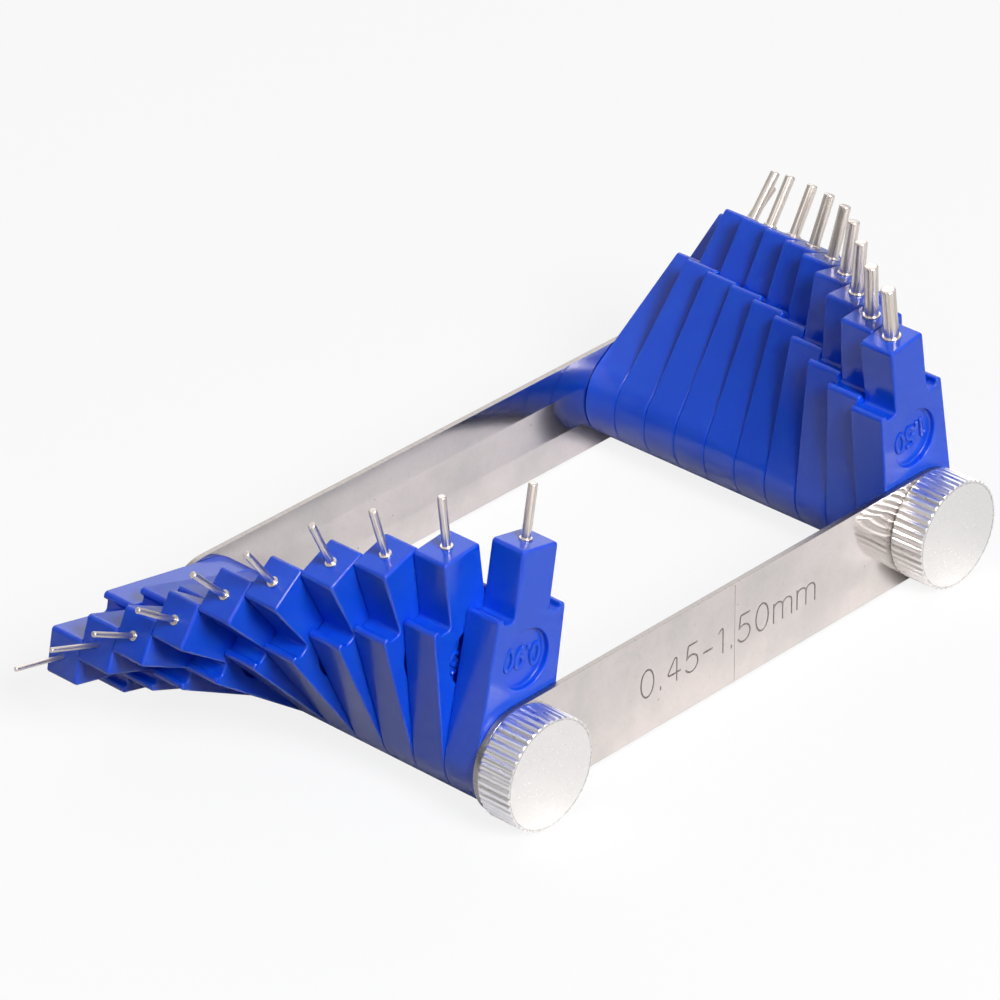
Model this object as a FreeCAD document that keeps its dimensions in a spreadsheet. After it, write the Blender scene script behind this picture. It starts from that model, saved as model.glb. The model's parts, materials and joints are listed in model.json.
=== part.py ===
import FreeCAD, Part
import math
import os
import Sketcher

# Carburettor jet gauge: twenty round gauge pins in moulded blades that fan out like a pocket knife's.
# The blades turn in two stacks of ten on two pivot screws, between a front and a back steel arm.
# A knurled thumb nut on each screw clamps its stack.
# Frame: origin in the middle of the front arm's lower edge, halfway through its thickness.
# +X runs along the arms, +Y from the front arm to the back arm, +Z up towards the fanned blades.

SIZES = (
    # Arms
    ("pivot_span", 58.5, "between the two pivot axes"),
    ("arm_height", 10.9, "height of an arm and diameter of its round ends"),
    ("arm_thickness", 0.6, "sheet of both arms"),
    # Stacks of blades
    ("blade_thickness", 3.95, "moulded blade, front to back"),
    ("blade_gap", 0.05, "running gap between neighbours in a stack"),
    ("stack_gap", 0.05, "running gap between a stack and each arm"),
    # Moulded blade
    ("foot_radius", 5.0, "round foot about the pivot"),
    ("shoulder_width", 9.0, "blade width at the shoulders"),
    ("shoulder_height", 14.5, "pivot axis to the shoulders"),
    ("head_width", 4.7, "square head that holds the pin"),
    ("head_height", 20.9, "pivot axis to the end of the head"),
    ("groove_width", 1.4, "groove in each shoulder, against the head"),
    ("groove_depth", 0.6, "groove below the shoulder"),
    ("label_diameter", 6.3, "round recess for the size"),
    ("label_height", 9.75, "pivot axis to the middle of the label"),
    ("label_depth", 0.5, "recess below the front face"),
    # Gauge pins
    ("pin_reach", 26.45, "pivot axis to the tip of a pin"),
    ("fine_pin_reach", 27.05, "the same for the two finest pins"),
    ("pin_embedment", 6.0, "squared root of a pin, inside the head"),
    ("root_share", 0.7, "side of a square root, as a share of its pin's diameter"),
    # Pivot screws
    ("screw_diameter", 4.0, "shank of a pivot screw"),
    ("pivot_clearance", 0.05, "round the shank, on the radius"),
    ("screw_head_diameter", 7.0, "low head behind the back arm"),
    ("screw_head_height", 1.2, "height of the head"),
    ("slot_width", 1.0, "screwdriver slot"),
    ("slot_depth", 0.6, "screwdriver slot"),
    # Thumb nuts
    ("nut_diameter", 11.4, "over the knurl"),
    ("nut_length", 4.0, "length of a nut"),
    ("nut_gap", 0.03, "nut to the front arm"),
    ("nut_cap", 0.8, "closed end of a nut"),
    ("screw_end_gap", 0.3, "end of the screw to the nut's closed end"),
    ("knurl_count", 45, "straight grooves round a nut"),
    ("knurl_depth", 0.3, "depth of a groove"),
    ("knurl_width", 0.55, "a groove at the nut's surface"),
)

# Pin diameter and lean of each blade, from the front of its stack to the back.
# A blade with no lean stands upright, and a positive lean is towards +X.
LEFT_STACK = (
    (0.90, 11.0), (0.85, -5.9), (0.80, -16.5), (0.75, -25.3), (0.70, -36.5),
    (0.65, -44.8), (0.60, -55.9), (0.55, -64.2), (0.50, -70.7), (0.45, -78.0),
)
RIGHT_STACK = (
    (1.50, -8.0), (1.40, -3.1), (1.30, 4.0), (1.25, 12.1), (1.20, 20.0),
    (1.15, 25.6), (1.10, 30.8), (1.05, 34.1), (1.00, 40.5), (0.95, 54.2),
)
STACKS = {
    "left": ("-Sizes.pivot_span / 2", LEFT_STACK),
    "right": ("Sizes.pivot_span / 2", RIGHT_STACK),
}
FINEST = 0.50

PITCH = "(Sizes.blade_thickness + Sizes.blade_gap)"
STACK_DEPTH = f"({len(LEFT_STACK)} * {PITCH} - Sizes.blade_gap)"
PIVOT_HEIGHT = "Sizes.arm_height / 2"
FRONT_ARM = "-Sizes.arm_thickness / 2"
STACK_FRONT = "(Sizes.arm_thickness / 2 + Sizes.stack_gap)"
BACK_ARM = f"({STACK_FRONT} + {STACK_DEPTH} + Sizes.stack_gap)"
BACK_FACE = f"({BACK_ARM} + Sizes.arm_thickness)"
NUT_BACK = f"({FRONT_ARM} - Sizes.nut_gap)"
NUT_FRONT = f"({NUT_BACK} - Sizes.nut_length)"
BORE_RADIUS = "(Sizes.screw_diameter / 2 + Sizes.pivot_clearance)"
UPRIGHT = FreeCAD.Vector(0, 0, 1)
HALF_TURN = 180
SMALLEST_VOLUME = 1e-3

doc = FreeCAD.newDocument("JetGauge")
sheet = doc.addObject("Spreadsheet::Sheet", "Sizes")
subparts = []


def fill_sheet():
    """Writes each driving size into a cell with its name as the alias."""
    rows = list(SIZES)
    for side, (_, stack) in STACKS.items():
        for place, (diameter, lean) in enumerate(stack, start=1):
            rows.append((f"{side}_pin_{place:02d}", diameter, "diameter of this gauge pin"))
            rows.append((f"{side}_lean_{place:02d}", lean, "degrees from upright"))
    for row, (alias, value, note) in enumerate(rows, start=1):
        sheet.set(f"A{row}", alias)
        sheet.set(f"B{row}", str(value))
        sheet.set(f"C{row}", note)
        sheet.setAlias(f"B{row}", alias)
    doc.recompute()


def value_of(expression):
    """The number that an expression of the sheet's sizes gives."""
    return float(sheet.evalExpression(expression.replace("Sizes.", "")))


def add_body(label):
    body = doc.addObject("PartDesign::Body", label)
    body.Label = label
    subparts.append(body)
    return body


def place(body, x="0", y="0", lean=None):
    """Puts a body at the pivots' level, turned about the Y axis by its lean."""
    if lean:
        # A turn of one degree sets the axis, and the sheet's lean then replaces the angle
        sideways = FreeCAD.Rotation(FreeCAD.Vector(0, 1, 0), 1)
        body.Placement = FreeCAD.Placement(FreeCAD.Vector(), sideways)
        body.setExpression("Placement.Rotation.Angle", f"{lean} * 1 deg")
    body.setExpression("Placement.Base.x", x)
    body.setExpression("Placement.Base.y", y)
    body.setExpression("Placement.Base.z", PIVOT_HEIGHT)


def origin_feature(body, role):
    """One of the body's own base planes or axes."""
    return next(item for item in body.Origin.OriginFeatures if item.Role == role)


def add_sketch(body, name, role, height=None):
    """A sketch on one of the body's own planes, or at a height above it along its normal."""
    sketch = body.newObject("Sketcher::SketchObject", name)
    sketch.AttachmentSupport = [(origin_feature(body, role), "")]
    sketch.MapMode = "FlatFace"
    if height:
        sketch.setExpression("AttachmentOffset.Base.z", height)
    doc.recompute()
    return sketch


def drive(sketch, geometry, point, across, up):
    """Holds one point of a sketch at two driven distances from the sketch's origin."""
    for kind, expression, axis in (("DistanceX", across, -2), ("DistanceY", up, -1)):
        if expression == "0":
            sketch.addConstraint(Sketcher.Constraint("PointOnObject", geometry, point, axis))
            continue
        distance = Sketcher.Constraint(kind, -1, 1, geometry, point, value_of(expression))
        index = sketch.addConstraint(distance)
        sketch.setExpression(f"Constraints[{index}]", expression)


def drive_radius(sketch, geometry, expression):
    index = sketch.addConstraint(Sketcher.Constraint("Radius", geometry, value_of(expression)))
    sketch.setExpression(f"Constraints[{index}]", expression)


def add_polygon(sketch, corners):
    """A closed outline of straight lines through driven corners."""
    points = [FreeCAD.Vector(value_of(across), value_of(up), 0) for across, up in corners]
    first = sketch.GeometryCount
    for start, end in zip(points, points[1:] + points[:1]):
        sketch.addGeometry(Part.LineSegment(start, end))
    for offset, (across, up) in enumerate(corners):
        following = first + (offset + 1) % len(corners)
        sketch.addConstraint(Sketcher.Constraint("Coincident", first + offset, 2, following, 1))
        drive(sketch, first + offset, 1, across, up)


def add_circle(sketch, across, up, radius):
    centre = FreeCAD.Vector(value_of(across), value_of(up), 0)
    circle = sketch.addGeometry(Part.Circle(centre, UPRIGHT, value_of(radius)))
    drive(sketch, circle, 3, across, up)
    drive_radius(sketch, circle, radius)


def add_feature(body, kind, name, sketch, **settings):
    """Adds a sketched feature, and stops where it leaves the solid as it was."""
    before = body.Shape.Volume if body.Tip else 0
    feature = body.newObject(kind, name)
    feature.Profile = sketch
    for setting, value in settings.items():
        if isinstance(value, str) and "Sizes." in value:
            feature.setExpression(setting, value)
        else:
            setattr(feature, setting, value)
    doc.recompute()
    if abs(feature.Shape.Volume - before) < SMALLEST_VOLUME:
        raise RuntimeError(f"{feature.Label} of {body.Label} changes nothing")
    return feature


def build_arm(label, y):
    """A flat steel arm with round ends, and a hole for each pivot screw."""
    arm = add_body(label)
    outline = add_sketch(arm, f"{label}_outline", "XZ_Plane")
    half_span, radius = value_of("Sizes.pivot_span / 2"), value_of("Sizes.arm_height / 2")
    for sign, start in ((1, -math.pi / 2), (-1, math.pi / 2)):
        circle = Part.Circle(FreeCAD.Vector(sign * half_span, 0, 0), UPRIGHT, radius)
        outline.addGeometry(Part.ArcOfCircle(circle, start, start + math.pi))
        corner = FreeCAD.Vector(half_span, radius, 0) * sign
        outline.addGeometry(Part.LineSegment(corner, FreeCAD.Vector(-corner.x, corner.y, 0)))
    for first, first_end, second, second_end in ((0, 2, 1, 1), (1, 2, 2, 1), (2, 2, 3, 1), (3, 2, 0, 1)):
        outline.addConstraint(Sketcher.Constraint("Tangent", first, first_end, second, second_end))
    drive(outline, 0, 3, "Sizes.pivot_span / 2", "0")
    drive(outline, 2, 3, "-Sizes.pivot_span / 2", "0")
    drive_radius(outline, 0, "Sizes.arm_height / 2")
    for x, _ in STACKS.values():
        add_circle(outline, x, "0", BORE_RADIUS)
    add_feature(arm, "PartDesign::Pad", f"{label}_plate", outline, Length="Sizes.arm_thickness",
                Reversed=True)
    place(arm, y=y)


def build_blade(side, number, x, y):
    """One moulded blade: round foot, straight sides, grooved shoulders and a square head."""
    label = f"{side}_blade_{number:02d}"
    blade = add_body(label)

    plate = add_sketch(blade, f"{label}_plate_outline", "XZ_Plane")
    foot = value_of("Sizes.foot_radius")
    half, top = value_of("Sizes.shoulder_width / 2"), value_of("Sizes.shoulder_height")
    circle = Part.Circle(FreeCAD.Vector(), UPRIGHT, foot)
    plate.addGeometry(Part.ArcOfCircle(circle, math.pi, 2 * math.pi))
    plate.addGeometry(Part.LineSegment(FreeCAD.Vector(foot, 0, 0), FreeCAD.Vector(half, top, 0)))
    plate.addGeometry(Part.LineSegment(FreeCAD.Vector(half, top, 0), FreeCAD.Vector(-half, top, 0)))
    plate.addGeometry(Part.LineSegment(FreeCAD.Vector(-half, top, 0), FreeCAD.Vector(-foot, 0, 0)))
    plate.addConstraint(Sketcher.Constraint("Coincident", 0, 3, -1, 1))
    drive_radius(plate, 0, "Sizes.foot_radius")
    plate.addConstraint(Sketcher.Constraint("Tangent", 0, 2, 1, 1))
    plate.addConstraint(Sketcher.Constraint("Coincident", 1, 2, 2, 1))
    plate.addConstraint(Sketcher.Constraint("Coincident", 2, 2, 3, 1))
    plate.addConstraint(Sketcher.Constraint("Tangent", 3, 2, 0, 1))
    drive(plate, 2, 1, "Sizes.shoulder_width / 2", "Sizes.shoulder_height")
    drive(plate, 2, 2, "-Sizes.shoulder_width / 2", "Sizes.shoulder_height")
    add_feature(blade, "PartDesign::Pad", f"{label}_plate", plate, Length="Sizes.blade_thickness",
                Reversed=True)

    # The head starts at the grooves' bottoms, so it joins the plate below the shoulders
    head = add_sketch(blade, f"{label}_head_outline", "XZ_Plane")
    left, right = "-Sizes.head_width / 2", "Sizes.head_width / 2"
    bottom, end = "Sizes.shoulder_height - Sizes.groove_depth", "Sizes.head_height"
    add_polygon(head, ((left, bottom), (right, bottom), (right, end), (left, end)))
    add_feature(blade, "PartDesign::Pad", f"{label}_head", head, Length="Sizes.blade_thickness",
                Reversed=True)

    # The grooves' sides run on past the shoulder, so that they cut clean through
    grooves = add_sketch(blade, f"{label}_groove_outline", "XZ_Plane")
    above = "Sizes.shoulder_height + Sizes.groove_depth"
    for sign in ("", "-"):
        inner = f"{sign}Sizes.head_width / 2"
        outer = f"{sign}(Sizes.head_width / 2 + Sizes.groove_width)"
        add_polygon(grooves, ((inner, bottom), (outer, bottom), (outer, above), (inner, above)))
    add_feature(blade, "PartDesign::Pocket", f"{label}_grooves", grooves, Type="ThroughAll")

    bore = add_sketch(blade, f"{label}_bore_outline", "XZ_Plane")
    add_circle(bore, "0", "0", BORE_RADIUS)
    add_feature(blade, "PartDesign::Pocket", f"{label}_bore", bore, Type="ThroughAll")

    # Only the blade in front shows its whole face, so the plain ones behind it have no label recess
    if number == 1:
        recess = add_sketch(blade, f"{label}_recess_outline", "XZ_Plane")
        add_circle(recess, "0", "Sizes.label_height", "Sizes.label_diameter / 2")
        add_feature(blade, "PartDesign::Pocket", f"{label}_recess", recess, Length="Sizes.label_depth")

    socket = add_sketch(blade, f"{label}_socket_outline", "XY_Plane", "Sizes.head_height")
    add_polygon(socket, root_corners(side, number))
    add_feature(blade, "PartDesign::Pocket", f"{label}_socket", socket, Length="Sizes.pin_embedment")
    place(blade, x, y, f"Sizes.{side}_lean_{number:02d}")


def root_corners(side, number):
    """Square section of a pin's root, in the middle of its blade's thickness."""
    half = f"Sizes.root_share * Sizes.{side}_pin_{number:02d} / 2"
    front, back = f"Sizes.blade_thickness / 2 - {half}", f"Sizes.blade_thickness / 2 + {half}"
    return (f"-{half}", front), (half, front), (half, back), (f"-{half}", back)


def build_pin(side, number, x, y, reach):
    """A ground gauge pin on the end of its blade's head, with a squared root moulded into the head."""
    label = f"{side}_pin_{number:02d}"
    pin = add_body(label)
    root = add_sketch(pin, f"{label}_root_outline", "XY_Plane", "Sizes.head_height")
    add_polygon(root, root_corners(side, number))
    add_feature(pin, "PartDesign::Pad", f"{label}_root", root, Length="Sizes.pin_embedment", Reversed=True)
    rod = add_sketch(pin, f"{label}_rod_outline", "XY_Plane", "Sizes.head_height")
    add_circle(rod, "0", "Sizes.blade_thickness / 2", f"Sizes.{label} / 2")
    add_feature(pin, "PartDesign::Pad", f"{label}_rod", rod, Length=f"{reach} - Sizes.head_height")
    place(pin, x, y, f"Sizes.{side}_lean_{number:02d}")


def build_screw(side, x):
    """A pivot screw: a low slotted head behind the back arm, and a shank that ends inside the nut."""
    label = f"{side}_pivot_screw"
    screw = add_body(label)
    shank, rim = "Sizes.screw_diameter / 2", "Sizes.screw_head_diameter / 2"
    end = f"{NUT_FRONT} + Sizes.nut_cap + Sizes.screw_end_gap"
    head_top = f"{BACK_FACE} + Sizes.screw_head_height"
    outline = add_sketch(screw, f"{label}_outline", "XY_Plane")
    add_polygon(outline, (
        ("0", end),
        (shank, end),
        (shank, BACK_FACE),
        (rim, BACK_FACE),
        (rim, head_top),
        ("0", head_top),
    ))
    add_feature(screw, "PartDesign::Revolution", f"{label}_turned", outline,
                ReferenceAxis=(outline, ["V_Axis"]))
    # The XZ plane's normal is -Y, so the head's outer face lies below it
    slot = add_sketch(screw, f"{label}_slot_outline", "XZ_Plane", f"-({head_top})")
    near, far = "-Sizes.slot_width / 2", "Sizes.slot_width / 2"
    low, high = "-Sizes.screw_head_diameter", "Sizes.screw_head_diameter"
    add_polygon(slot, ((low, near), (high, near), (high, far), (low, far)))
    add_feature(screw, "PartDesign::Pocket", f"{label}_slot", slot, Length="Sizes.slot_depth",
                Reversed=True)
    place(screw, x)


def build_nut(side, x):
    """A closed thumb nut with a straight knurl, bored from the arm's side for the screw."""
    label = f"{side}_thumb_nut"
    nut = add_body(label)
    rim = "Sizes.nut_diameter / 2"
    # The knurl's tops are the flats of a prism, and its grooves take the prism's corners away
    blank = nut.newObject("PartDesign::AdditivePrism", f"{label}_blank")
    blank.AttachmentSupport = [(origin_feature(nut, "XZ_Plane"), "")]
    blank.MapMode = "FlatFace"
    blank.setExpression("AttachmentOffset.Base.z", f"-{NUT_BACK}")
    blank.setExpression("Polygon", "Sizes.knurl_count")
    blank.setExpression("Circumradius", f"{rim} / cos({HALF_TURN} deg / Sizes.knurl_count)")
    blank.setExpression("Height", "Sizes.nut_length")
    doc.recompute()
    bore = add_sketch(nut, f"{label}_bore_outline", "XZ_Plane", f"-{NUT_BACK}")
    add_circle(bore, "0", "0", BORE_RADIUS)
    add_feature(nut, "PartDesign::Pocket", f"{label}_bore", bore,
                Length="Sizes.nut_length - Sizes.nut_cap", Reversed=True)
    # The groove's sides run on past the surface, so that it cuts clean through
    groove = add_sketch(nut, f"{label}_groove_outline", "XZ_Plane")
    add_polygon(groove, (
        (f"{rim} - Sizes.knurl_depth", "0"),
        (f"{rim} + Sizes.knurl_depth", "-Sizes.knurl_width"),
        (f"{rim} + Sizes.knurl_depth", "Sizes.knurl_width"),
    ))
    cut = add_feature(nut, "PartDesign::Pocket", f"{label}_groove", groove, Type="ThroughAll",
                      Midplane=True)
    knurl = nut.newObject("PartDesign::PolarPattern", f"{label}_knurl")
    knurl.Originals = [cut]
    knurl.Axis = (origin_feature(nut, "Y_Axis"), [""])
    knurl.Angle = 2 * HALF_TURN
    knurl.setExpression("Occurrences", "Sizes.knurl_count")
    nut.Tip = knurl
    doc.recompute()
    place(nut, x)


def build_stack(side):
    """Ten blades on one pivot, each with its pin, from the front arm to the back arm."""
    x, stack = STACKS[side]
    for number, (diameter, _) in enumerate(stack, start=1):
        y = f"{STACK_FRONT} + {number - 1} * {PITCH}"
        reach = "Sizes.fine_pin_reach" if diameter <= FINEST else "Sizes.pin_reach"
        build_blade(side, number, x, y)
        build_pin(side, number, x, y, reach)


def check_and_export():
    doc.recompute()
    for item in doc.Objects:
        if "Invalid" in item.State or "Error" in item.State:
            raise RuntimeError(f"{item.Label} did not build: {item.State}")
    for body in subparts:
        shape = body.Shape
        if shape.isNull() or not shape.isValid() or len(shape.Solids) != 1:
            raise RuntimeError(f"{body.Label} is not one valid solid")
    os.makedirs("parts", exist_ok=True)
    for body in subparts:
        body.Shape.exportStep(f"parts/{body.Label}.step")
    print(len(subparts), "sub-parts written")


fill_sheet()
build_arm("front_arm", FRONT_ARM)
build_arm("back_arm", BACK_ARM)
for side, (x, _) in STACKS.items():
    build_screw(side, x)
    build_nut(side, x)
    build_stack(side)
check_and_export()
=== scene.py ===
import json
import math

import bmesh
import bpy
from mathutils import Matrix, Vector
from mathutils.geometry import tessellate_polygon


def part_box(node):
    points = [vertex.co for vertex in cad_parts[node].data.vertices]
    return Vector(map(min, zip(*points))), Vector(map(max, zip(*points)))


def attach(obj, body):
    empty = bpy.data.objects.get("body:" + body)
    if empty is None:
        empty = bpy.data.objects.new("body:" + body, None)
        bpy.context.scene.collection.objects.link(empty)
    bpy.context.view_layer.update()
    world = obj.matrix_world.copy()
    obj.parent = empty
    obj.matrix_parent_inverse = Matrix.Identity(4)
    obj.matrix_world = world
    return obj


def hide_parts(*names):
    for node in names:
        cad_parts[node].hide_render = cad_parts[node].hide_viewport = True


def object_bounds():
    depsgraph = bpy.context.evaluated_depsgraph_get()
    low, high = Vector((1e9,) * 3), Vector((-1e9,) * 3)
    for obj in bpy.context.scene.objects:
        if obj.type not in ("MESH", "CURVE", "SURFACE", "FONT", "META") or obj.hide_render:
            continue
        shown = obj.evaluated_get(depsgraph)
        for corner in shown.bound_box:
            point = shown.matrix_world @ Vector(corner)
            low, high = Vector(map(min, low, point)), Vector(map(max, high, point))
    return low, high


# The looks of a carburettor jet gauge, built around its fixed frame.
# Every piece is shaped in millimetres about its own pivot and then set into the frame in metres.
# A piece's own axes: X across, Y from front to back, Z away from the pivot.

MM = 0.001
SIDES = ("left", "right")
BLADES = range(1, 11)

# Moulded blades
FOOT_RADIUS = 5.0
SHOULDER_HALF = 4.5
SHOULDER_HEIGHT = 14.5
HEAD_HALF = 2.35
HEAD_HEIGHT = 20.9
GROOVE_OUTER = 3.75
GROOVE_DEPTH = 0.6
BLADE_BORE = 2.05
FRONT_EDGE = 0.22
LIP_EDGE = 0.18
HEAD_EDGE = 0.28
HEAD_EDGE_RISE = 1.5
BACK_EDGE = 0.1
SHOULDER_ROUND = 0.45
LIP_ROUND = 0.26
GROOVE_ROUND = 0.38
HEAD_ROUND = 0.4
LABEL_RADIUS = 3.02
LABEL_HEIGHT = 9.75
LABEL_EDGE = 0.14
LABEL_DEPTH = 0.65
LABEL_FILLET = 0.2

# Raised sizes on the blades, measured along the middle of their strokes
NUMBER_HEIGHT = 2.02
NUMBER_STROKE = 0.52
NUMBER_GAP = 0.42
NUMBER_SLIM = 0.88
NUMBER_ROOT = 0.03

# Gauge pins
PIN_STEP = 0.05
PIN_ROOT = 1.0
PIN_TIP_SHARE = 0.3
PIN_TIP_MOST = 0.15
RING_WIDTH = 0.2
RING_HEIGHT = 0.22
FINEST_WITH_RING = 0.55

# Arms
ARM_EDGE = 0.02
ARM_BORE = 2.05
ENGRAVING_HEIGHT = 2.98
ENGRAVING_STROKE = 0.2
ENGRAVING_GAP = 0.8
SCRIBE_PLACE = 0.8
SCRIBE_WIDTH = 0.05
PANEL_HALF = 15.0
PANEL_MARGIN = 0.1

# Thumb nuts and pivot screws
KNURLS = 45
KNURL_DEPTH = 0.18
KNURL_STEPS = 10
KNURL_SHARPNESS = 2.6
NUT_CHAMFER = 0.08
NUT_BACK_RADIAL = 0.24
NUT_BACK_LENGTH = 0.3
NUT_FACE_EDGE = 0.05
NUT_CAP = 0.8
CENTRE_SHARE = 1 / 20
SCREW_CLEARANCE = 0.05
SCREW_END = 0.2
SCREW_HEAD_FOOT = 0.1
SCREW_EDGE = 0.2
SLOT_WIDTH = 1.0
SLOT_DEPTH = 0.6

# Camera
AZIMUTH = -46.561
ELEVATION = 29.936
ROLL = -0.582
DISTANCE = 547.556
LENS = 207.24
TARGET = Vector((-8.375, 21.458, 15.45))
FARTHEST_SEEN = 10

# Light
BRIGHT_SIDE = (0.45, 0.1, 0.9)
MIRRORED_FROM = -0.3
MIRRORED_STRENGTH = (0.15, 1.0)
SURROUND_STRENGTH = 0.15
FLOOR_REACH = 3.0
FLOOR_GLOW = 0.85
FLOOR_WHITE = 0.88
FLOOR_BOUNCE = 0.12
LAMP_AIM = Vector((0, 0.02, 0.01))
# Each lamp's place and size in metres, and its power in watts
LAMPS = {
    "key_lamp": ((-0.125, -0.48, 0.42), 0.25, 4.3),
    "left_lamp": ((-0.5, -0.03, 0.38), 0.3, 0.4),
    "back_lamp": ((0.39, 0.4, 0.33), 0.45, 0.6),
}

# Strokes of the characters, and the steps that divide curves
STROKE_CORNER = 0.06
STROKE_STEP = 15
STROKE_END_STEPS = 12
STROKE_END_SHARE = 0.52
ARC_STEPS = 5
EDGE_STEPS = 3
FOOT_STEPS = 40
CIRCLE_STEPS = 48
SHARP_ANGLE = math.radians(25)
FLAT_FACE = 0.98

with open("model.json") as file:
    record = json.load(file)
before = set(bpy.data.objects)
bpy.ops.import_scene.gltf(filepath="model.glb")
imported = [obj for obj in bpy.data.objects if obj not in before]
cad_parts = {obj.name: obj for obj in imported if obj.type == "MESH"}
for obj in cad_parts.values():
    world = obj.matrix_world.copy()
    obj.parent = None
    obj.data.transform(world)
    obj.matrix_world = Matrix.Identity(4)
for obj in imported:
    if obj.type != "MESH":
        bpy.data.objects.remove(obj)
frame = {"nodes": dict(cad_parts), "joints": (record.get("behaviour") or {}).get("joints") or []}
cad_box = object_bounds()
joint_of = {joint["child"]: joint for joint in frame["joints"]}


class Shell:
    """The points, normals and faces of one closed surface, in millimetres."""

    def __init__(self):
        self.points = []
        self.normals = []
        self.faces = []

    def add_point(self, point, depth, normal, slope=0.0, facing=-1):
        """A point at a depth along Y. Its normal turns from the side wall to the face by the slope."""
        self.points.append(Vector((point.x, depth, point.y)))
        side = normal * math.cos(slope)
        self.normals.append(Vector((side.x, facing * math.sin(slope), side.y)))
        return len(self.points) - 1

    def join(self, rings):
        """Quads between each closed ring and the next."""
        for near, far in zip(rings, rings[1:]):
            for index in range(len(near)):
                following = (index + 1) % len(near)
                self.faces.append((near[index], near[following], far[following], far[index]))

    def fill(self, rings):
        """Triangles over a flat area between an outer ring and the rings of its holes."""
        loops = [[self.points[index] for index in ring] for ring in rings]
        order = [index for ring in rings for index in ring]
        for triangle in tessellate_polygon(loops):
            self.faces.append(tuple(order[index] for index in triangle))

    def to_object(self, name, place, material, keep_normals=True):
        """A mesh object in the frame, with its faces turned outwards, that keeps each point's own place."""
        mesh = bpy.data.meshes.new(name)
        mesh.from_pydata([place @ point * MM for point in self.points], [], self.faces)
        own = mesh.attributes.new("own_place", "FLOAT_VECTOR", "POINT")
        own.data.foreach_set("vector", [value for point in self.points for value in point])
        work = bmesh.new()
        work.from_mesh(mesh)
        bmesh.ops.recalc_face_normals(work, faces=work.faces)
        work.to_mesh(mesh)
        work.free()
        mesh.shade_smooth()
        if keep_normals:
            turn = place.to_3x3()
            normals = [(turn @ normal).normalized() for normal in self.normals]
            mesh.normals_split_custom_set_from_vertices(normals)
        else:
            mesh.set_sharp_from_angle(angle=SHARP_ANGLE)
        mesh.materials.append(material)
        piece = bpy.data.objects.new(name, mesh)
        bpy.context.scene.collection.objects.link(piece)
        return piece


def circle(radius, centre=(0, 0), steps=CIRCLE_STEPS, hole=False):
    """An outline's points with their normals, which point into a hole."""
    sign = -1 if hole else 1
    ring = []
    for step in range(steps):
        angle = 2 * math.pi * step / steps
        radial = Vector((math.cos(angle), math.sin(angle)))
        ring.append((Vector(centre) + radial * radius, radial * sign))
    return ring


def rounded_corner(before, corner, after, radius):
    """The arc that rounds one corner of an outline that runs anticlockwise."""
    back = (before - corner).normalized()
    on = (after - corner).normalized()
    half = back.angle(on) / 2
    centre = corner + (back + on).normalized() * (radius / math.sin(half))
    convex = 1 if on.cross(-back) < 0 else -1
    start = corner + back * (radius / math.tan(half)) - centre
    turn = convex * (math.pi - 2 * half)
    arc = []
    for step in range(ARC_STEPS + 1):
        radial = start.normalized()
        radial.rotate(Matrix.Rotation(turn * step / ARC_STEPS, 2))
        arc.append((centre + radial * radius, radial * convex))
    return arc


def blade_outline():
    """Round foot, straight tapering sides, grooved shoulders and a square head."""
    shoulder = Vector((SHOULDER_HALF, SHOULDER_HEIGHT))
    tangent = math.atan2(shoulder.y, shoulder.x) - math.acos(FOOT_RADIUS / shoulder.length)
    sweep = math.pi + 2 * tangent
    ring = []
    for step in range(FOOT_STEPS + 1):
        angle = math.pi - tangent + sweep * step / FOOT_STEPS
        radial = Vector((math.cos(angle), math.sin(angle)))
        ring.append((radial * FOOT_RADIUS, radial))
    bottom = SHOULDER_HEIGHT - GROOVE_DEPTH
    right = (
        (SHOULDER_HALF, SHOULDER_HEIGHT, SHOULDER_ROUND),
        (GROOVE_OUTER, SHOULDER_HEIGHT, LIP_ROUND),
        (GROOVE_OUTER, bottom, GROOVE_ROUND),
        (HEAD_HALF, bottom, GROOVE_ROUND),
        (HEAD_HALF, HEAD_HEIGHT, HEAD_ROUND),
    )
    left = tuple((-x, z, radius) for x, z, radius in reversed(right))
    corners = [(Vector((x, z)), radius) for x, z, radius in right + left]
    stops = [ring[-1][0]] + [corner for corner, _ in corners] + [ring[0][0]]
    for index, (corner, radius) in enumerate(corners, start=1):
        ring += rounded_corner(stops[index - 1], corner, stops[index + 1], radius)
    return ring


def edge_rings(shell, outline, face, facing, size_at):
    """Rings round an edge, from the flat face out to the side wall."""
    rings = []
    for step in range(EDGE_STEPS, -1, -1):
        slope = math.pi / 2 * step / EDGE_STEPS
        ring = []
        for point, normal in outline:
            size = size_at(point)
            inset = size * (1 - math.cos(slope))
            depth = face - facing * size * (1 - math.sin(slope))
            ring.append(shell.add_point(point - normal * inset, depth, normal, slope, facing))
        rings.append(ring)
    return rings


def add_plate(shell, outline, through, front, back, front_edge, back_edge):
    """A plate with rounded edges and through holes. Gives the rings that bound its front and back faces."""
    fronts, backs = [], []
    for loop in [outline] + through:
        near = edge_rings(shell, loop, front, -1, front_edge)
        far = edge_rings(shell, loop, back, 1, back_edge)
        shell.join(near + far[::-1])
        fronts.append(near[0])
        backs.append(far[0])
    return fronts, backs


def add_box(shell, low, high):
    """A plain box that cuts or trims another piece."""
    sides = ((low.x, low.z), (high.x, low.z), (high.x, high.z), (low.x, high.z))
    corners = [Vector(side) for side in sides]
    near = [shell.add_point(corner, low.y, Vector((0, 1))) for corner in corners]
    far = [shell.add_point(corner, high.y, Vector((0, 1))) for corner in corners]
    shell.join([near, far])
    shell.faces += [tuple(near), tuple(far)]


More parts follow.
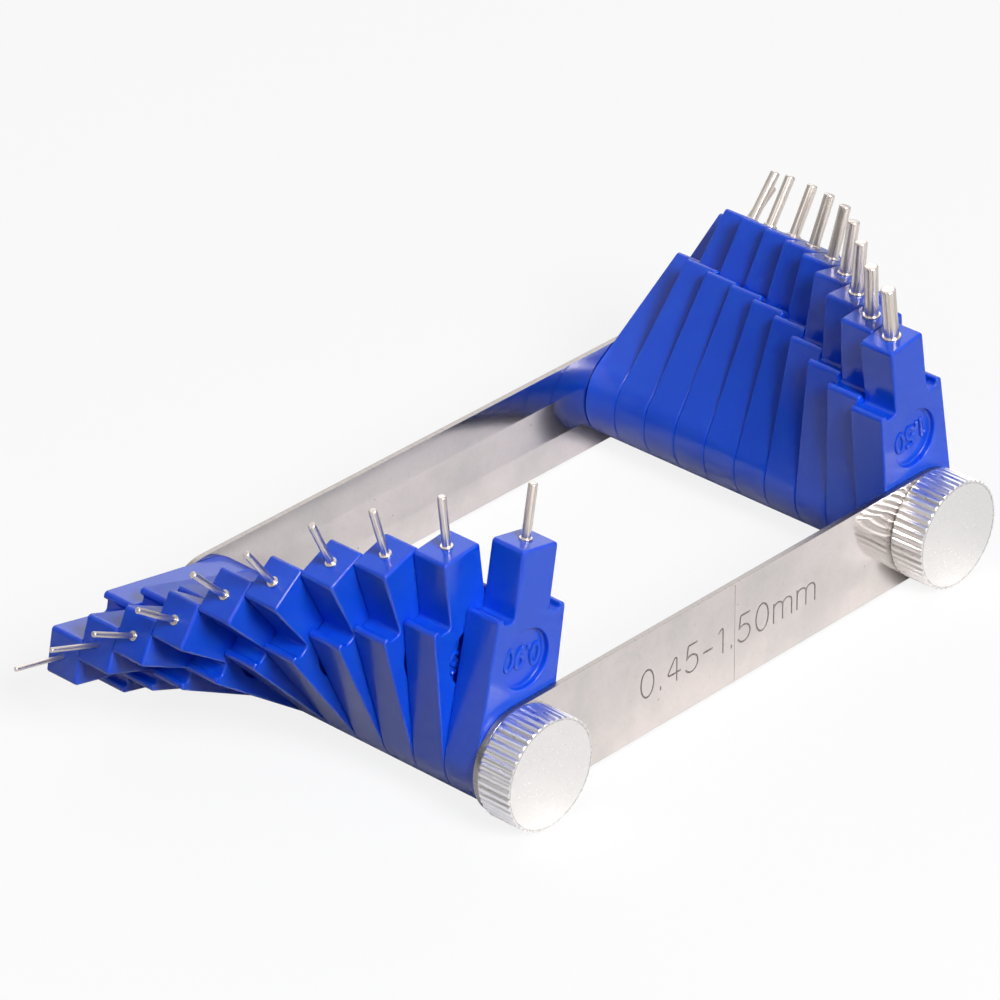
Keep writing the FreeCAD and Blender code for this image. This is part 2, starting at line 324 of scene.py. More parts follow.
def blade_front_edge(point):
    """The mould rounds a blade's front edge well along its sides and its head, and less at the lips."""
    if point.y > SHOULDER_HEIGHT:
        return LIP_EDGE + (HEAD_EDGE - LIP_EDGE) * min(1, (point.y - SHOULDER_HEIGHT) / HEAD_EDGE_RISE)
    share = min(1, max(0, (point.y - LABEL_HEIGHT) / (SHOULDER_HEIGHT - GROOVE_DEPTH - LABEL_HEIGHT)))
    return FRONT_EDGE + (LIP_EDGE - FRONT_EDGE) * share


def even_edge(size):
    return lambda point: size


def add_label_recess(shell, front):
    """The round recess of a blade's number. Gives the ring where it meets the front face."""
    outline = circle(LABEL_RADIUS, (0, LABEL_HEIGHT), hole=True)
    rings = edge_rings(shell, outline, front, -1, even_edge(LABEL_EDGE))
    floor = front + LABEL_DEPTH
    for step in range(EDGE_STEPS + 1):
        slope = math.pi / 2 * step / EDGE_STEPS
        inset = LABEL_FILLET * (1 - math.cos(slope))
        depth = floor - LABEL_FILLET * (1 - math.sin(slope))
        ring = [shell.add_point(point + normal * inset, depth, normal, slope) for point, normal in outline]
        rings.append(ring)
    shell.join(rings)
    shell.fill([rings[-1]])
    return rings[0]


def pivot_place(body, lean=0.0):
    """From a piece's own millimetres to the frame's, at the middle of a body's pivot."""
    pivot = Vector(joint_of[body]["pos_m"]) / MM
    return Matrix.Translation(pivot) @ Matrix.Rotation(lean, 4, "Y")


def node_points(node):
    return [vertex.co / MM for vertex in frame["nodes"][node].data.vertices]


def pin_facts(side, number):
    """A pin's diameter, its reach from the pivot and its lean, all read from its solid."""
    pivot = Vector(joint_of[f"{side}_blade_{number:02d}"]["pos_m"]) / MM
    points = [point - pivot for point in node_points(f"{side}_pin_{number:02d}")]
    width = max(point.y for point in points) - min(point.y for point in points)
    diameter = round(width / PIN_STEP) * PIN_STEP
    far = max(point.length for point in points)
    end = [point for point in points if point.length > far - PIN_STEP]
    low = Vector([min(point[axis] for point in end) for axis in range(3)])
    high = Vector([max(point[axis] for point in end) for axis in range(3)])
    tip = (low + high) / 2
    return diameter, math.hypot(tip.x, tip.z), math.atan2(tip.x, tip.z)


def add_lathe(shell, profile, steps=CIRCLE_STEPS, groove=None):
    """A turned surface about Z, along a profile of radii and heights. Its two ends are closed flat."""
    normals = []
    for index in range(len(profile)):
        before = profile[max(index - 1, 0)]
        after = profile[min(index + 1, len(profile) - 1)]
        along = Vector((after[0] - before[0], after[1] - before[1])).normalized()
        normals.append(Vector((along.y, -along.x)))
    rings = []
    for (radius, height), normal in zip(profile, normals):
        first = len(shell.points)
        for step in range(steps):
            angle = 2 * math.pi * step / steps
            swell = radius + (groove(step, radius) if groove else 0)
            shell.points.append(Vector((swell * math.cos(angle), swell * math.sin(angle), height)))
            shell.normals.append(Vector((normal.x * math.cos(angle), normal.x * math.sin(angle), normal.y)))
        rings.append(list(range(first, len(shell.points))))
    shell.join(rings)
    shell.faces.append(tuple(reversed(rings[0])))
    shell.faces.append(tuple(rings[-1]))


def new_material(name, base, metallic, roughness):
    """A new material with its node tree and its shader."""
    material = bpy.data.materials.new(name)
    material.use_nodes = True
    tree = material.node_tree
    shader = tree.nodes["Principled BSDF"]
    shader.inputs["Base Color"].default_value = (*base, 1)
    shader.inputs["Metallic"].default_value = metallic
    shader.inputs["Roughness"].default_value = roughness
    return material, tree, shader


def add_node(tree, kind, inputs=None, **settings):
    node = tree.nodes.new(kind)
    for setting, value in settings.items():
        setattr(node, setting, value)
    for name, value in (inputs or {}).items():
        if isinstance(value, bpy.types.NodeSocket):
            tree.links.new(value, node.inputs[name])
        else:
            node.inputs[name].default_value = value
    return node


def own_coordinates(tree, scale=(1, 1, 1)):
    """A turned or cut piece's own coordinates in millimetres, stretched by the scale."""
    source = add_node(tree, "ShaderNodeAttribute", attribute_name="own_place")
    mapping = add_node(tree, "ShaderNodeMapping", {"Vector": source.outputs["Vector"], "Scale": scale})
    return mapping.outputs["Vector"]


def object_coordinates(tree, scale=(1, 1, 1)):
    """The frame's coordinates in millimetres, stretched by the scale."""
    source = add_node(tree, "ShaderNodeTexCoord")
    stretch = tuple(share / MM for share in scale)
    mapping = add_node(tree, "ShaderNodeMapping", {"Vector": source.outputs["Object"], "Scale": stretch})
    return mapping.outputs["Vector"]


def axis_distance(tree):
    """How far a turned piece's surface lies from its own axis, in millimetres."""
    flat = own_coordinates(tree, (1, 1, 0))
    return add_node(tree, "ShaderNodeVectorMath", {0: flat}, operation="LENGTH").outputs["Value"]


def combine(tree, operation, first, second):
    return add_node(tree, "ShaderNodeMath", {0: first, 1: second}, operation=operation).outputs[0]


def noise(tree, vector, scale, detail=3.0, roughness=0.5):
    inputs = {"Vector": vector, "Scale": scale, "Detail": detail, "Roughness": roughness}
    return add_node(tree, "ShaderNodeTexNoise", inputs).outputs["Fac"]


def turned_rings(tree, distance, scale):
    """Fine rings round a turned piece's axis."""
    inputs = {"W": distance, "Scale": scale, "Detail": 4.0}
    return add_node(tree, "ShaderNodeTexNoise", inputs, noise_dimensions="1D").outputs["Fac"]


def spread(tree, value, low, high, start=0.0, end=1.0):
    """Maps a value between low and high to start and end."""
    inputs = {"Value": value, "From Min": low, "From Max": high, "To Min": start, "To Max": end}
    return add_node(tree, "ShaderNodeMapRange", inputs).outputs["Result"]


def mix_colours(tree, share, first, second):
    """Mixes two colours, each given as numbers or as a node's output."""
    node = add_node(tree, "ShaderNodeMix", data_type="RGBA")
    tree.links.new(share, node.inputs["Factor"])
    for socket, colour in (("A", first), ("B", second)):
        if isinstance(colour, bpy.types.NodeSocket):
            tree.links.new(colour, node.inputs[socket])
        else:
            node.inputs[socket].default_value = (*colour, 1)
    return node.outputs["Result"]


def sparse_spots(tree, vector, scale, size, density):
    """Small spots in some of the cells of a grid: 1 in a spot and 0 elsewhere."""
    cells = add_node(tree, "ShaderNodeTexVoronoi", {"Vector": vector, "Scale": scale})
    near = spread(tree, cells.outputs["Distance"], size, size * 0.5)
    drawn = add_node(tree, "ShaderNodeSeparateColor", {"Color": cells.outputs["Color"]}).outputs["Red"]
    return combine(tree, "MULTIPLY", near, combine(tree, "GREATER_THAN", drawn, 1 - density))


def bump(tree, shader, height, strength, distance):
    inputs = {"Height": height, "Strength": strength, "Distance": distance * MM}
    node = add_node(tree, "ShaderNodeBump", inputs)
    tree.links.new(node.outputs["Normal"], shader.inputs["Normal"])


def blue_plastic():
    """Satin moulded plastic that lets a little light through its edges, with some dust on it."""
    material, tree, shader = new_material("blue_plastic", (0.005, 0.09, 0.72), 0, 0.16)
    shader.inputs["Subsurface Weight"].default_value = 1.0
    shader.inputs["Subsurface Radius"].default_value = (0.1, 0.35, 1.0)
    shader.inputs["Subsurface Scale"].default_value = 0.35 * MM
    place = object_coordinates(tree)
    cloud = noise(tree, place, 0.16, 3)
    colour = mix_colours(tree, spread(tree, cloud, 0.3, 0.7), (0.004, 0.085, 0.7), (0.006, 0.094, 0.74))
    dust = sparse_spots(tree, place, 1.1, 0.045, 0.012)
    colour = mix_colours(tree, combine(tree, "MULTIPLY", dust, 0.35), colour, (0.45, 0.55, 0.9))
    tree.links.new(colour, shader.inputs["Base Color"])
    rub = noise(tree, place, 0.7, 4, 0.6)
    tree.links.new(spread(tree, rub, 0.3, 0.7, 0.16, 0.25), shader.inputs["Roughness"])
    grain = noise(tree, place, 0.9, 3, 0.5)
    bump(tree, shader, grain, 0.03, 0.03)
    return material


def arm_steel():
    """Stainless sheet with a mill finish: faintly clouded, with fine scratches along it and small pits."""
    material, tree, shader = new_material("arm_steel", (0.71, 0.665, 0.645), 1, 0.1)
    place = object_coordinates(tree)
    cloud = noise(tree, place, 0.13, 5, 0.62)
    colour = mix_colours(tree, spread(tree, cloud, 0.42, 0.62), (0.76, 0.7, 0.68), (0.67, 0.635, 0.615))
    speck = noise(tree, place, 2.4, 3, 0.7)
    colour = mix_colours(tree, spread(tree, speck, 0.56, 0.8, 0, 0.4), colour, (0.52, 0.46, 0.42))
    pits = sparse_spots(tree, place, 0.8, 0.12, 0.07)
    colour = mix_colours(tree, combine(tree, "MULTIPLY", pits, 0.55), colour, (0.22, 0.18, 0.15))
    tree.links.new(colour, shader.inputs["Base Color"])
    streaks = noise(tree, object_coordinates(tree, (0.2, 1, 7)), 1.2, 5, 0.65)
    tree.links.new(spread(tree, streaks, 0.3, 0.7, 0.07, 0.17), shader.inputs["Roughness"])
    relief = combine(tree, "SUBTRACT", streaks, pits)
    bump(tree, shader, relief, 0.1, 0.008)
    return material


def cut_steel():
    """Where the arms' sheet is sheared or engraved: darker and rougher."""
    material, tree, shader = new_material("cut_steel", (0.35, 0.32, 0.31), 1, 0.3)
    grain = noise(tree, object_coordinates(tree, (3, 0.6, 3)), 1.5, 4, 0.6)
    colour = mix_colours(tree, spread(tree, grain, 0.35, 0.65), (0.3, 0.275, 0.262), (0.4, 0.37, 0.355))
    tree.links.new(colour, shader.inputs["Base Color"])
    tree.links.new(spread(tree, grain, 0.3, 0.7, 0.25, 0.4), shader.inputs["Roughness"])
    bump(tree, shader, grain, 0.2, 0.01)
    return material


def pin_steel():
    """Ground rod: bright, with fine dark and light lines along its length."""
    material, tree, shader = new_material("pin_steel", (0.6, 0.55, 0.51), 1, 0.2)
    lines = noise(tree, own_coordinates(tree, (6, 6, 0.12)), 1.0, 4, 0.7)
    colour = mix_colours(tree, spread(tree, lines, 0.38, 0.6), (0.56, 0.5, 0.455), (0.95, 0.865, 0.8))
    tree.links.new(colour, shader.inputs["Base Color"])
    tree.links.new(spread(tree, lines, 0.3, 0.7, 0.36, 0.24), shader.inputs["Roughness"])
    bump(tree, shader, lines, 0.2, 0.02)
    return material


def nut_aluminium():
    """Turned aluminium, nearly white, with fine rings on its face. Its knurl's grooves are darkened in
    patches, partly dirt and partly painted shade.
    """
    material, tree, shader = new_material("nut_aluminium", (0.9, 0.875, 0.86), 1, 0.36)
    distance = axis_distance(tree)
    rings = turned_rings(tree, distance, 7.0)
    stains = noise(tree, own_coordinates(tree, (3, 3, 0.7)), 1.3, 4, 0.65)
    # Painted shade, partly dirt: the knurl's grooves, between the face's edge and the ridge tops, are
    # darkened in patches.
    below_rim = spread(tree, distance, 5.6, 5.42)
    dirt_and_shade = combine(tree, "MULTIPLY", below_rim, spread(tree, stains, 0.35, 0.6, 0.1, 0.7))
    beyond_face = spread(tree, distance, 5.35, 5.4)
    dirt_and_shade = combine(tree, "MULTIPLY", dirt_and_shade, beyond_face)
    colour = mix_colours(tree, dirt_and_shade, (0.9, 0.875, 0.86), (0.26, 0.24, 0.22))
    tree.links.new(colour, shader.inputs["Base Color"])
    tree.links.new(spread(tree, stains, 0.3, 0.7, 0.24, 0.42), shader.inputs["Roughness"])
    bump(tree, shader, rings, 0.02, 0.01)
    return material


def screw_steel():
    """Turned and plated steel."""
    material, tree, shader = new_material("screw_steel", (0.58, 0.57, 0.56), 1, 0.25)
    rings = turned_rings(tree, axis_distance(tree), 9.0)
    tree.links.new(spread(tree, rings, 0.3, 0.7, 0.2, 0.34), shader.inputs["Roughness"])
    bump(tree, shader, rings, 0.2, 0.02)
    return material


def settle(piece, body, slot, *nodes):
    """Gives a piece its body and hides the solids that it stands for. Its material slot is not used."""
    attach(piece, body)
    if nodes:
        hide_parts(*nodes)
    return piece


def bend(*corners):
    """A stroke of straight lines with slightly rounded corners."""
    points = [Vector(corner) for corner in corners]
    stroke = [points[0]]
    for before, corner, after in zip(points, points[1:], points[2:]):
        stroke += [point for point, _ in rounded_corner(before, corner, after, STROKE_CORNER)]
    return stroke + [points[-1]]


def arc(x, y, width, height, start, end):
    """A stroke along an ellipse about (x, y), between two angles in degrees."""
    steps = max(2, math.ceil(abs(end - start) / STROKE_STEP))
    angles = [math.radians(start + (end - start) * step / steps) for step in range(steps + 1)]
    return [Vector((x + width / 2 * math.cos(angle), y + height / 2 * math.sin(angle))) for angle in angles]


def half_turned(stroke, width):
    return [Vector((width - point.x, 1 - point.y)) for point in stroke]


NINE = (arc(0.3, 0.7, 0.56, 0.6, 0, 360), arc(0.02, 0.62, 1.12, 1.24, 10, -72))
# Each character's width and strokes, in units of its height
GLYPHS = {
    "0": (0.6, (arc(0.3, 0.5, 0.6, 1, 0, 360),)),
    "1": (0.34, (bend((0.04, 0.8), (0.25, 1), (0.25, 0)),)),
    "2": (0.6, (arc(0.3, 0.72, 0.54, 0.56, 165, -30) + bend((0.5, 0.54), (0.02, 0), (0.6, 0)),)),
    "3": (0.6, (arc(0.28, 0.75, 0.5, 0.5, 155, -90), arc(0.28, 0.25, 0.58, 0.5, 90, -155))),
    "4": (0.6, (bend((0.45, 0), (0.45, 1), (0, 0.3), (0.62, 0.3)),)),
    "5": (0.6, (bend((0.54, 1), (0.12, 1), (0.06, 0.52)), arc(0.28, 0.31, 0.6, 0.62, 135, -150))),
    "6": (0.6, tuple(half_turned(stroke, 0.6) for stroke in NINE)),
    "7": (0.6, (bend((0, 1), (0.58, 1), (0.2, 0)),)),
    "8": (0.6, (arc(0.3, 0.76, 0.48, 0.48, 0, 360), arc(0.3, 0.26, 0.58, 0.52, 0, 360))),
    "9": (0.6, NINE),
    ".": (0.1, (bend((0.05, 0), (0.05, 0.1)),)),
    "-": (0.4, (bend((0, 0.42), (0.4, 0.42)),)),
    "m": (0.88, (
        bend((0, 0), (0, 0.7)),
        arc(0.22, 0.5, 0.44, 0.4, 180, 0) + bend((0.44, 0.5), (0.44, 0)),
        arc(0.66, 0.5, 0.44, 0.4, 180, 0) + bend((0.88, 0.5), (0.88, 0)),
    )),
}


def stroke_mesh(name, words, height, width, gap, slim=1.0):
    """Words as round strokes with round ends in the XY plane, centred, in millimetres."""
    curve = bpy.data.curves.new(name, "CURVE")
    curve.dimensions = "3D"
    curve.bevel_depth = width / 2
    curve.bevel_resolution = 2
    curve.use_fill_caps = True
    length = sum(GLYPHS[letter][0] for letter in words) * slim * height + gap * (len(words) - 1)
    across = -length / 2
    ends = []
    for letter in words:
        glyph_width, strokes = GLYPHS[letter]
        for stroke in strokes:
            points = [Vector((across + point.x * slim * height, (point.y - 0.5) * height, 0))
                      for point in stroke]
            closed = (points[0] - points[-1]).length < STROKE_CORNER / 2
            if closed:
                points.pop()
            else:
                ends += [points[0], points[-1]]
            spline = curve.splines.new("POLY")
            spline.points.add(len(points) - 1)
            spline.use_cyclic_u = closed
            for spot, point in zip(spline.points, points):
                spot.co = (*point, 1)
        across += glyph_width * slim * height + gap
    mesh = curve_to_mesh(curve)
    work = bmesh.new()
    work.from_mesh(mesh)
    for end in ends:
        bmesh.ops.create_uvsphere(work, u_segments=STROKE_END_STEPS, v_segments=STROKE_END_STEPS // 2,
                                  radius=width * STROKE_END_SHARE, matrix=Matrix.Translation(end))
    work.to_mesh(mesh)
    work.free()
    return mesh


def curve_to_mesh(curve):
    item = bpy.data.objects.new(curve.name, curve)
    bpy.context.scene.collection.objects.link(item)
    bpy.context.view_layer.update()
    mesh = bpy.data.meshes.new_from_object(item.evaluated_get(bpy.context.evaluated_depsgraph_get()))
    bpy.data.objects.remove(item)
    bpy.data.curves.remove(curve)
    return mesh


def mesh_object(name, mesh, place, *materials):
    """An object whose mesh goes from millimetres to its place in the frame."""
    mesh.transform(Matrix.Scale(MM, 4) @ place)
    mesh.materials.clear()
    for material in materials:
        mesh.materials.append(material)
    piece = bpy.data.objects.new(name, mesh)
    bpy.context.scene.collection.objects.link(piece)
    return piece


def cut_away(piece, cutter, operation="DIFFERENCE"):
    """Cuts a piece with another, which it deletes. Strokes that overlap within one of them become one."""
    cut = piece.modifiers.new("cut", "BOOLEAN")
    cut.operation = operation
    cut.solver = "EXACT"
    cut.use_self = True
    cut.object = cutter
    bpy.context.view_layer.update()
    mesh = bpy.data.meshes.new_from_object(piece.evaluated_get(bpy.context.evaluated_depsgraph_get()))
    piece.modifiers.clear()
    piece.data = mesh
    for face in mesh.polygons:
        face.use_smooth = abs(face.normal.y) < FLAT_FACE
    mesh.set_sharp_from_angle(angle=SHARP_ANGLE)
    bpy.data.objects.remove(cutter)


def build_blade(side, number, plastic):
    body = f"{side}_blade_{number:02d}"
    low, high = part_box(body)
    half = (high.y - low.y) / MM / 2
    diameter, _, lean = pin_facts(side, number)
    shell = Shell()
    bore = circle(BLADE_BORE, hole=True)
    fronts, backs = add_plate(shell, blade_outline(), [bore], -half, half, blade_front_edge,
                              even_edge(BACK_EDGE))
    recess = add_label_recess(shell, -half)
    shell.fill(fronts + [recess])
    shell.fill(backs)
    place = pivot_place(body, lean)
    blade = shell.to_object(f"{body}_moulding", place, plastic)
    settle(blade, body, "blade_plastic", body)

    # The sizes read from the head's side, so they stand upside down on an upright blade
    words = stroke_mesh(f"{body}_number", f"{diameter:.2f}", NUMBER_HEIGHT, NUMBER_STROKE, NUMBER_GAP,
                        NUMBER_SLIM)
    words.shade_smooth()
    floor = LABEL_DEPTH - half
    spot = Matrix.Translation(Vector((0, floor, LABEL_HEIGHT)))
    upside_down = Matrix.Rotation(math.pi / 2, 4, "X") @ Matrix.Rotation(math.pi, 4, "Z")
    raised = mesh_object(f"{body}_number", words, place @ spot @ upside_down, plastic)
    slab = Shell()
    add_box(slab, Vector((-LABEL_RADIUS, floor - NUMBER_STROKE, LABEL_HEIGHT - LABEL_RADIUS)),
            Vector((LABEL_RADIUS, floor + NUMBER_ROOT, LABEL_HEIGHT + LABEL_RADIUS)))
    cut_away(raised, slab.to_object("number_slab", place, plastic, keep_normals=False), "INTERSECT")
    settle(raised, body, "blade_plastic")


def build_pin(side, number, steel):
    body, node = f"{side}_blade_{number:02d}", f"{side}_pin_{number:02d}"
    diameter, reach, lean = pin_facts(side, number)
    radius = diameter / 2
    tip = min(PIN_TIP_SHARE * radius, PIN_TIP_MOST)
    place = pivot_place(body, lean)
    shell = Shell()
    profile = [(radius, HEAD_HEIGHT - PIN_ROOT), (radius, HEAD_HEIGHT), (radius, reach - 1.5 * tip)]
    profile += [(radius, reach - tip), (radius - 0.3 * tip, reach - 0.45 * tip)]
    profile += [(radius - tip, reach), (radius - 1.5 * tip, reach)]
    add_lathe(shell, profile)
    pin = shell.to_object(f"{node}_rod", place, steel)
    settle(pin, body, "pin_steel", node)
    if diameter < FINEST_WITH_RING:
        return
    ring = Shell()
    outer = radius + RING_WIDTH
    corner = RING_HEIGHT / 3
    rim = [(outer, HEAD_HEIGHT - RING_HEIGHT), (outer, HEAD_HEIGHT + RING_HEIGHT - corner)]
    rim += [(outer - corner / 3, HEAD_HEIGHT + RING_HEIGHT - corner / 3)]
    rim += [(outer - corner, HEAD_HEIGHT + RING_HEIGHT), (radius / 2, HEAD_HEIGHT + RING_HEIGHT)]
    add_lathe(ring, rim)
    collar = ring.to_object(f"{node}_ring", place, steel)
    settle(collar, body, "pin_steel")


def arm_outline(half_span, radius):
    ring = []
    for sign in (1, -1):
        for step in range(FOOT_STEPS + 1):
            angle = math.pi * (step / FOOT_STEPS - 0.5) + (0 if sign > 0 else math.pi)
            radial = Vector((math.cos(angle), math.sin(angle)))
            ring.append((Vector((sign * half_span, 0)) + radial * radius, radial))
    return ring


def build_arm(node, steel, cut_edge, engraved=False):
    """A strip with round ends. The face that is engraved has a flat panel of its own to cut into."""
    low, high = (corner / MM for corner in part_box(node))
    radius = (high.z - low.z) / 2
    half_span = (high.x - low.x) / 2 - radius
    half = (high.y - low.y) / 2
    shell = Shell()
    bores = [circle(ARM_BORE, (sign * half_span, 0), hole=True) for sign in (1, -1)]
    edge = even_edge(ARM_EDGE)
    fronts, backs = add_plate(shell, arm_outline(half_span, radius), bores, -half, half, edge, edge)
    if engraved:
        rise = radius - PANEL_MARGIN
        corners = ((-PANEL_HALF, -rise), (PANEL_HALF, -rise), (PANEL_HALF, rise), (-PANEL_HALF, rise))
        panel = [shell.add_point(Vector(corner), -half, Vector((0, 1))) for corner in corners]
        shell.faces.append(tuple(panel))
        fronts.append(panel)
    shell.fill(fronts)
    shell.fill(backs)
    middle = Matrix.Translation((low + high) / 2)
    arm = shell.to_object(f"{node}_strip", middle, steel, keep_normals=False)
    arm.data.materials.append(cut_edge)
    for face in arm.data.polygons:
        face.material_index = 0 if abs(face.normal.y) > 0.5 else 1
    settle(arm, "frame", "arm_steel", node)
    return arm


def engrave_range(arm, steel, cut_edge):
    """Cuts the range of sizes and a faint scribed line into the front arm's outer face."""
    low, high = (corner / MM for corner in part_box("front_arm"))
    middle = Matrix.Translation(Vector((0, low.y, (low.z + high.z) / 2)))
    face = middle @ Matrix.Rotation(math.pi / 2, 4, "X")
    words = stroke_mesh("range", "0.45-1.50mm", ENGRAVING_HEIGHT, ENGRAVING_STROKE, ENGRAVING_GAP)
    line = bpy.data.curves.new("scribe", "CURVE")
    line.dimensions = "3D"
    line.bevel_depth = SCRIBE_WIDTH / 2
    line.use_fill_caps = True
    spline = line.splines.new("POLY")
    spline.points.add(1)
    reach = (high.z - low.z) / 2 - 2 * PANEL_MARGIN
    for spot, end in zip(spline.points, (-reach, reach)):
        spot.co = (SCRIBE_PLACE, end, 0, 1)
    for name, mesh in (("range_cutter", words), ("scribe_cutter", curve_to_mesh(line))):
        cutter = mesh_object(name, mesh, face, steel, cut_edge)
        for polygon in mesh.polygons:
            polygon.material_index = 1
        cut_away(arm, cutter)


def build_nut(side, aluminium):
    node = f"{side}_thumb_nut"
    low, high = (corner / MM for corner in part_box(node))
    radius, length = (high.z - low.z) / 2, high.y - low.y
    centre = (low + high) / 2

    def groove(step, at_radius):
        """How far a point of the profile moves for the knurl, less what a chamfer has already taken."""
        share = 0.5 - 0.5 * math.cos(2 * math.pi * step / KNURL_STEPS)
        depth = KNURL_DEPTH * share ** KNURL_SHARPNESS
        return -max(0, depth - (radius - at_radius)) if at_radius > radius - KNURL_DEPTH else 0

    rim = radius - NUT_CHAMFER
    profile = [(ARM_BORE / 2, length - NUT_CAP), (ARM_BORE, length - NUT_CAP), (ARM_BORE, 0)]
    profile += [(radius - NUT_BACK_RADIAL, 0), (radius, NUT_BACK_LENGTH)]
    profile += [(radius, length - NUT_CHAMFER), (rim, length)]
    profile += [(rim - NUT_FACE_EDGE, length), (rim / 2, length), (rim * CENTRE_SHARE, length)]
    shell = Shell()
    add_lathe(shell, profile, KNURLS * KNURL_STEPS, groove)
    seat = Matrix.Translation(Vector((centre.x, high.y, centre.z)))
    forward = seat @ Matrix.Rotation(math.pi / 2, 4, "X")
    nut = shell.to_object(f"{node}_turned", forward, aluminium, keep_normals=False)
    settle(nut, node, "nut_aluminium", node)


def build_screw(side, steel):
    node = f"{side}_pivot_screw"
    low, high = (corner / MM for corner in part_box(node))
    head = (high.z - low.z) / 2
    centre = (low + high) / 2
    shank = ARM_BORE - SCREW_CLEARANCE
    top = high.y - low.y
    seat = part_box("back_arm")[1].y / MM - low.y
    profile = [(shank / 2, 0), (shank, SCREW_END), (shank, seat)]
    profile += [(head - SCREW_HEAD_FOOT, seat), (head, seat + SCREW_HEAD_FOOT)]
    profile += [(head, top - SCREW_EDGE), (head - SCREW_EDGE * 0.3, top - SCREW_EDGE * 0.3)]
    profile += [(head - SCREW_EDGE, top), (head * CENTRE_SHARE, top)]
    shell = Shell()
    add_lathe(shell, profile)
    end = Matrix.Translation(Vector((centre.x, low.y, centre.z)))
    backward = end @ Matrix.Rotation(-math.pi / 2, 4, "X")
    screw = shell.to_object(f"{node}_turned", backward, steel, keep_normals=False)
    slot = Shell()
    add_box(slot, Vector((-head - 1, high.y - SLOT_DEPTH, -SLOT_WIDTH / 2)),
            Vector((head + 1, high.y + 1, SLOT_WIDTH / 2)))
    across = Matrix.Translation(Vector((centre.x, 0, centre.z)))
    cut_away(screw, slot.to_object("slot_cutter", across, steel, keep_normals=False))
    settle(screw, "frame", "screw_steel", node)


def set_camera():
    azimuth, elevation, roll = (math.radians(angle) for angle in (AZIMUTH, ELEVATION, ROLL))
    level = Vector((math.sin(azimuth), -math.cos(azimuth), 0))
    back = level * math.cos(elevation) + Vector((0, 0, math.sin(elevation)))
    right = (-back).cross(Vector((0, 0, 1))).normalized()
    up = right.cross(-back)
    turned_right = right * math.cos(roll) + up * math.sin(roll)
    turned_up = up * math.cos(roll) - right * math.sin(roll)
    data = bpy.data.cameras.new("camera")
    data.lens = LENS
    data.clip_end = FARTHEST_SEEN
    camera = bpy.data.objects.new("camera", data)
    bpy.context.scene.collection.objects.link(camera)
    axes = Matrix((turned_right, turned_up, back)).transposed().to_4x4()
    camera.matrix_world = Matrix.Translation((TARGET + back * DISTANCE) * MM) @ axes
    bpy.context.scene.camera = camera


def add_lamp(name, place, size, power):
    """A soft square lamp that faces the object."""
    data = bpy.data.lights.new(name, "AREA")
    data.size = size
    data.energy = power
    lamp = bpy.data.objects.new(name, data)
    bpy.context.scene.collection.objects.link(lamp)
    facing = (Vector(place) - LAMP_AIM).to_track_quat("Z", "Y")
    lamp.matrix_world = Matrix.Translation(place) @ facing.to_matrix().to_4x4()


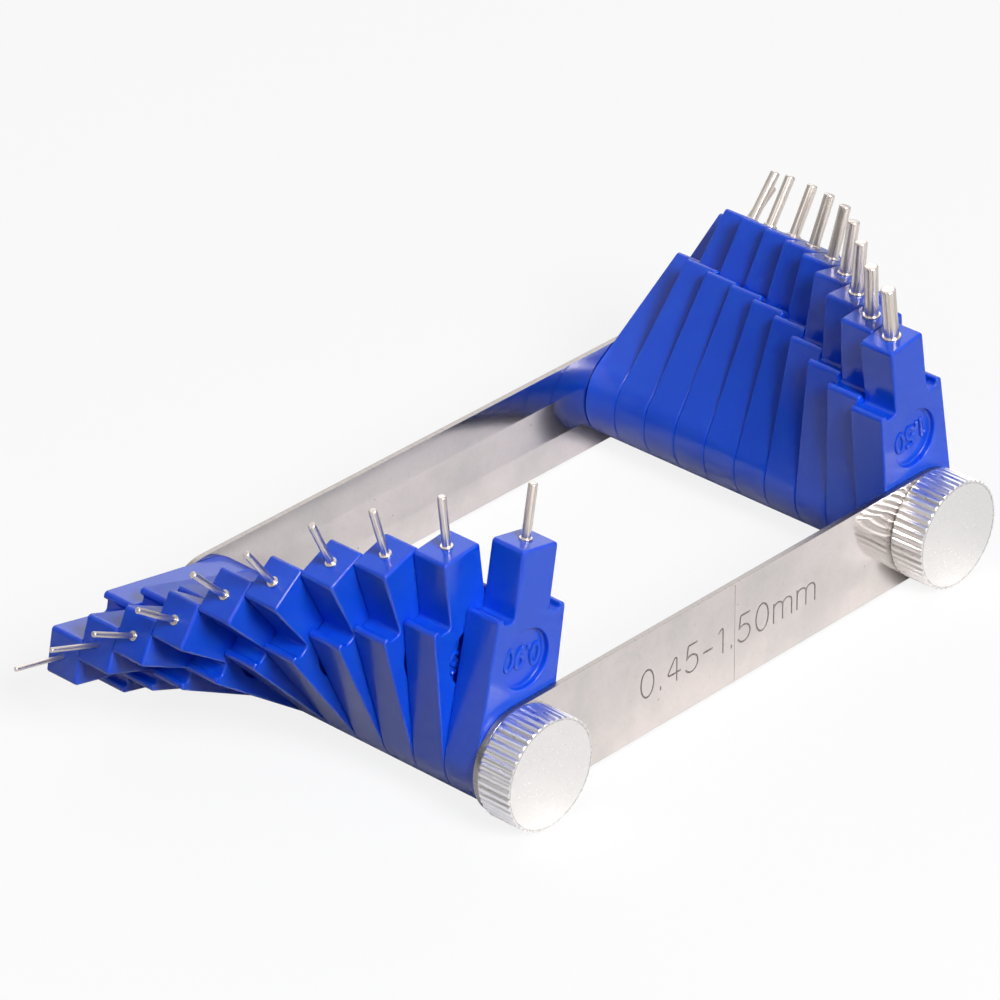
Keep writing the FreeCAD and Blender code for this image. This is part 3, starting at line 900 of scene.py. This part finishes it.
def set_surround():
    """A white surround for the camera, uneven in polished metal, that lights the object softly."""
    world = bpy.data.worlds.new("surround")
    world.use_nodes = True
    bpy.context.scene.world = world
    tree = world.node_tree
    tree.nodes.clear()
    rays = add_node(tree, "ShaderNodeLightPath")
    direction = add_node(tree, "ShaderNodeTexCoord").outputs["Generated"]
    towards = add_node(tree, "ShaderNodeVectorMath", {0: direction}, operation="DOT_PRODUCT")
    towards.inputs[1].default_value = Vector(BRIGHT_SIDE).normalized()
    mirrored = spread(tree, towards.outputs["Value"], MIRRORED_FROM, 1, *MIRRORED_STRENGTH)
    strength = add_node(tree, "ShaderNodeMix", {"Factor": rays.outputs["Is Glossy Ray"], "B": mirrored})
    strength.inputs["A"].default_value = SURROUND_STRENGTH
    lit = add_node(tree, "ShaderNodeBackground", {"Strength": strength.outputs["Result"]})
    seen = add_node(tree, "ShaderNodeBackground", {"Strength": 1.0})
    for background in (lit, seen):
        background.inputs["Color"].default_value = (1, 1, 1, 1)
    mixed = add_node(tree, "ShaderNodeMixShader", {0: rays.outputs["Is Camera Ray"]})
    tree.links.new(lit.outputs[0], mixed.inputs[1])
    tree.links.new(seen.outputs[0], mixed.inputs[2])
    output = add_node(tree, "ShaderNodeOutputWorld")
    tree.links.new(mixed.outputs[0], output.inputs["Surface"])


def floor_material():
    """Pale matt floor. The camera sees it nearly white, with the object's shadow."""
    material, tree, shader = new_material("floor", (FLOOR_WHITE,) * 3, 0, 0.9)
    shader.inputs["Specular IOR Level"].default_value = 0
    rays = add_node(tree, "ShaderNodeLightPath")
    colour = mix_colours(tree, rays.outputs["Is Diffuse Ray"], (FLOOR_WHITE,) * 3, (FLOOR_BOUNCE,) * 3)
    tree.links.new(colour, shader.inputs["Base Color"])
    seen = combine(tree, "MULTIPLY", rays.outputs["Is Camera Ray"], FLOOR_GLOW)
    glow = add_node(tree, "ShaderNodeEmission", {"Color": (1, 1, 1, 1), "Strength": 1.0})
    mixed = add_node(tree, "ShaderNodeMixShader", {0: seen})
    tree.links.new(shader.outputs[0], mixed.inputs[1])
    tree.links.new(glow.outputs[0], mixed.inputs[2])
    tree.links.new(mixed.outputs[0], tree.nodes["Material Output"].inputs["Surface"])
    return material


def set_stage():
    """The surround, a pale floor under the object and soft lamps."""
    bpy.context.scene.view_settings.view_transform = "Standard"
    set_surround()
    mesh = bpy.data.meshes.new("floor")
    corners = ((-1, -1), (1, -1), (1, 1), (-1, 1))
    height = cad_box[0].z
    mesh.from_pydata([(x * FLOOR_REACH, y * FLOOR_REACH, height) for x, y in corners], [], [(0, 1, 2, 3)])
    mesh.materials.append(floor_material())
    floor = bpy.data.objects.new("floor", mesh)
    bpy.context.scene.collection.objects.link(floor)
    for name, (place, size, power) in LAMPS.items():
        add_lamp(name, place, size, power)


plastic, steel_sheet, sheared, steel_rod = blue_plastic(), arm_steel(), cut_steel(), pin_steel()
aluminium, steel_screw = nut_aluminium(), screw_steel()
front_arm = build_arm("front_arm", steel_sheet, sheared, engraved=True)
build_arm("back_arm", steel_sheet, sheared)
engrave_range(front_arm, steel_sheet, sheared)
for side in SIDES:
    build_nut(side, aluminium)
    build_screw(side, steel_screw)
    for number in BLADES:
        build_blade(side, number, plastic)
        build_pin(side, number, steel_rod)
set_camera()
set_stage()
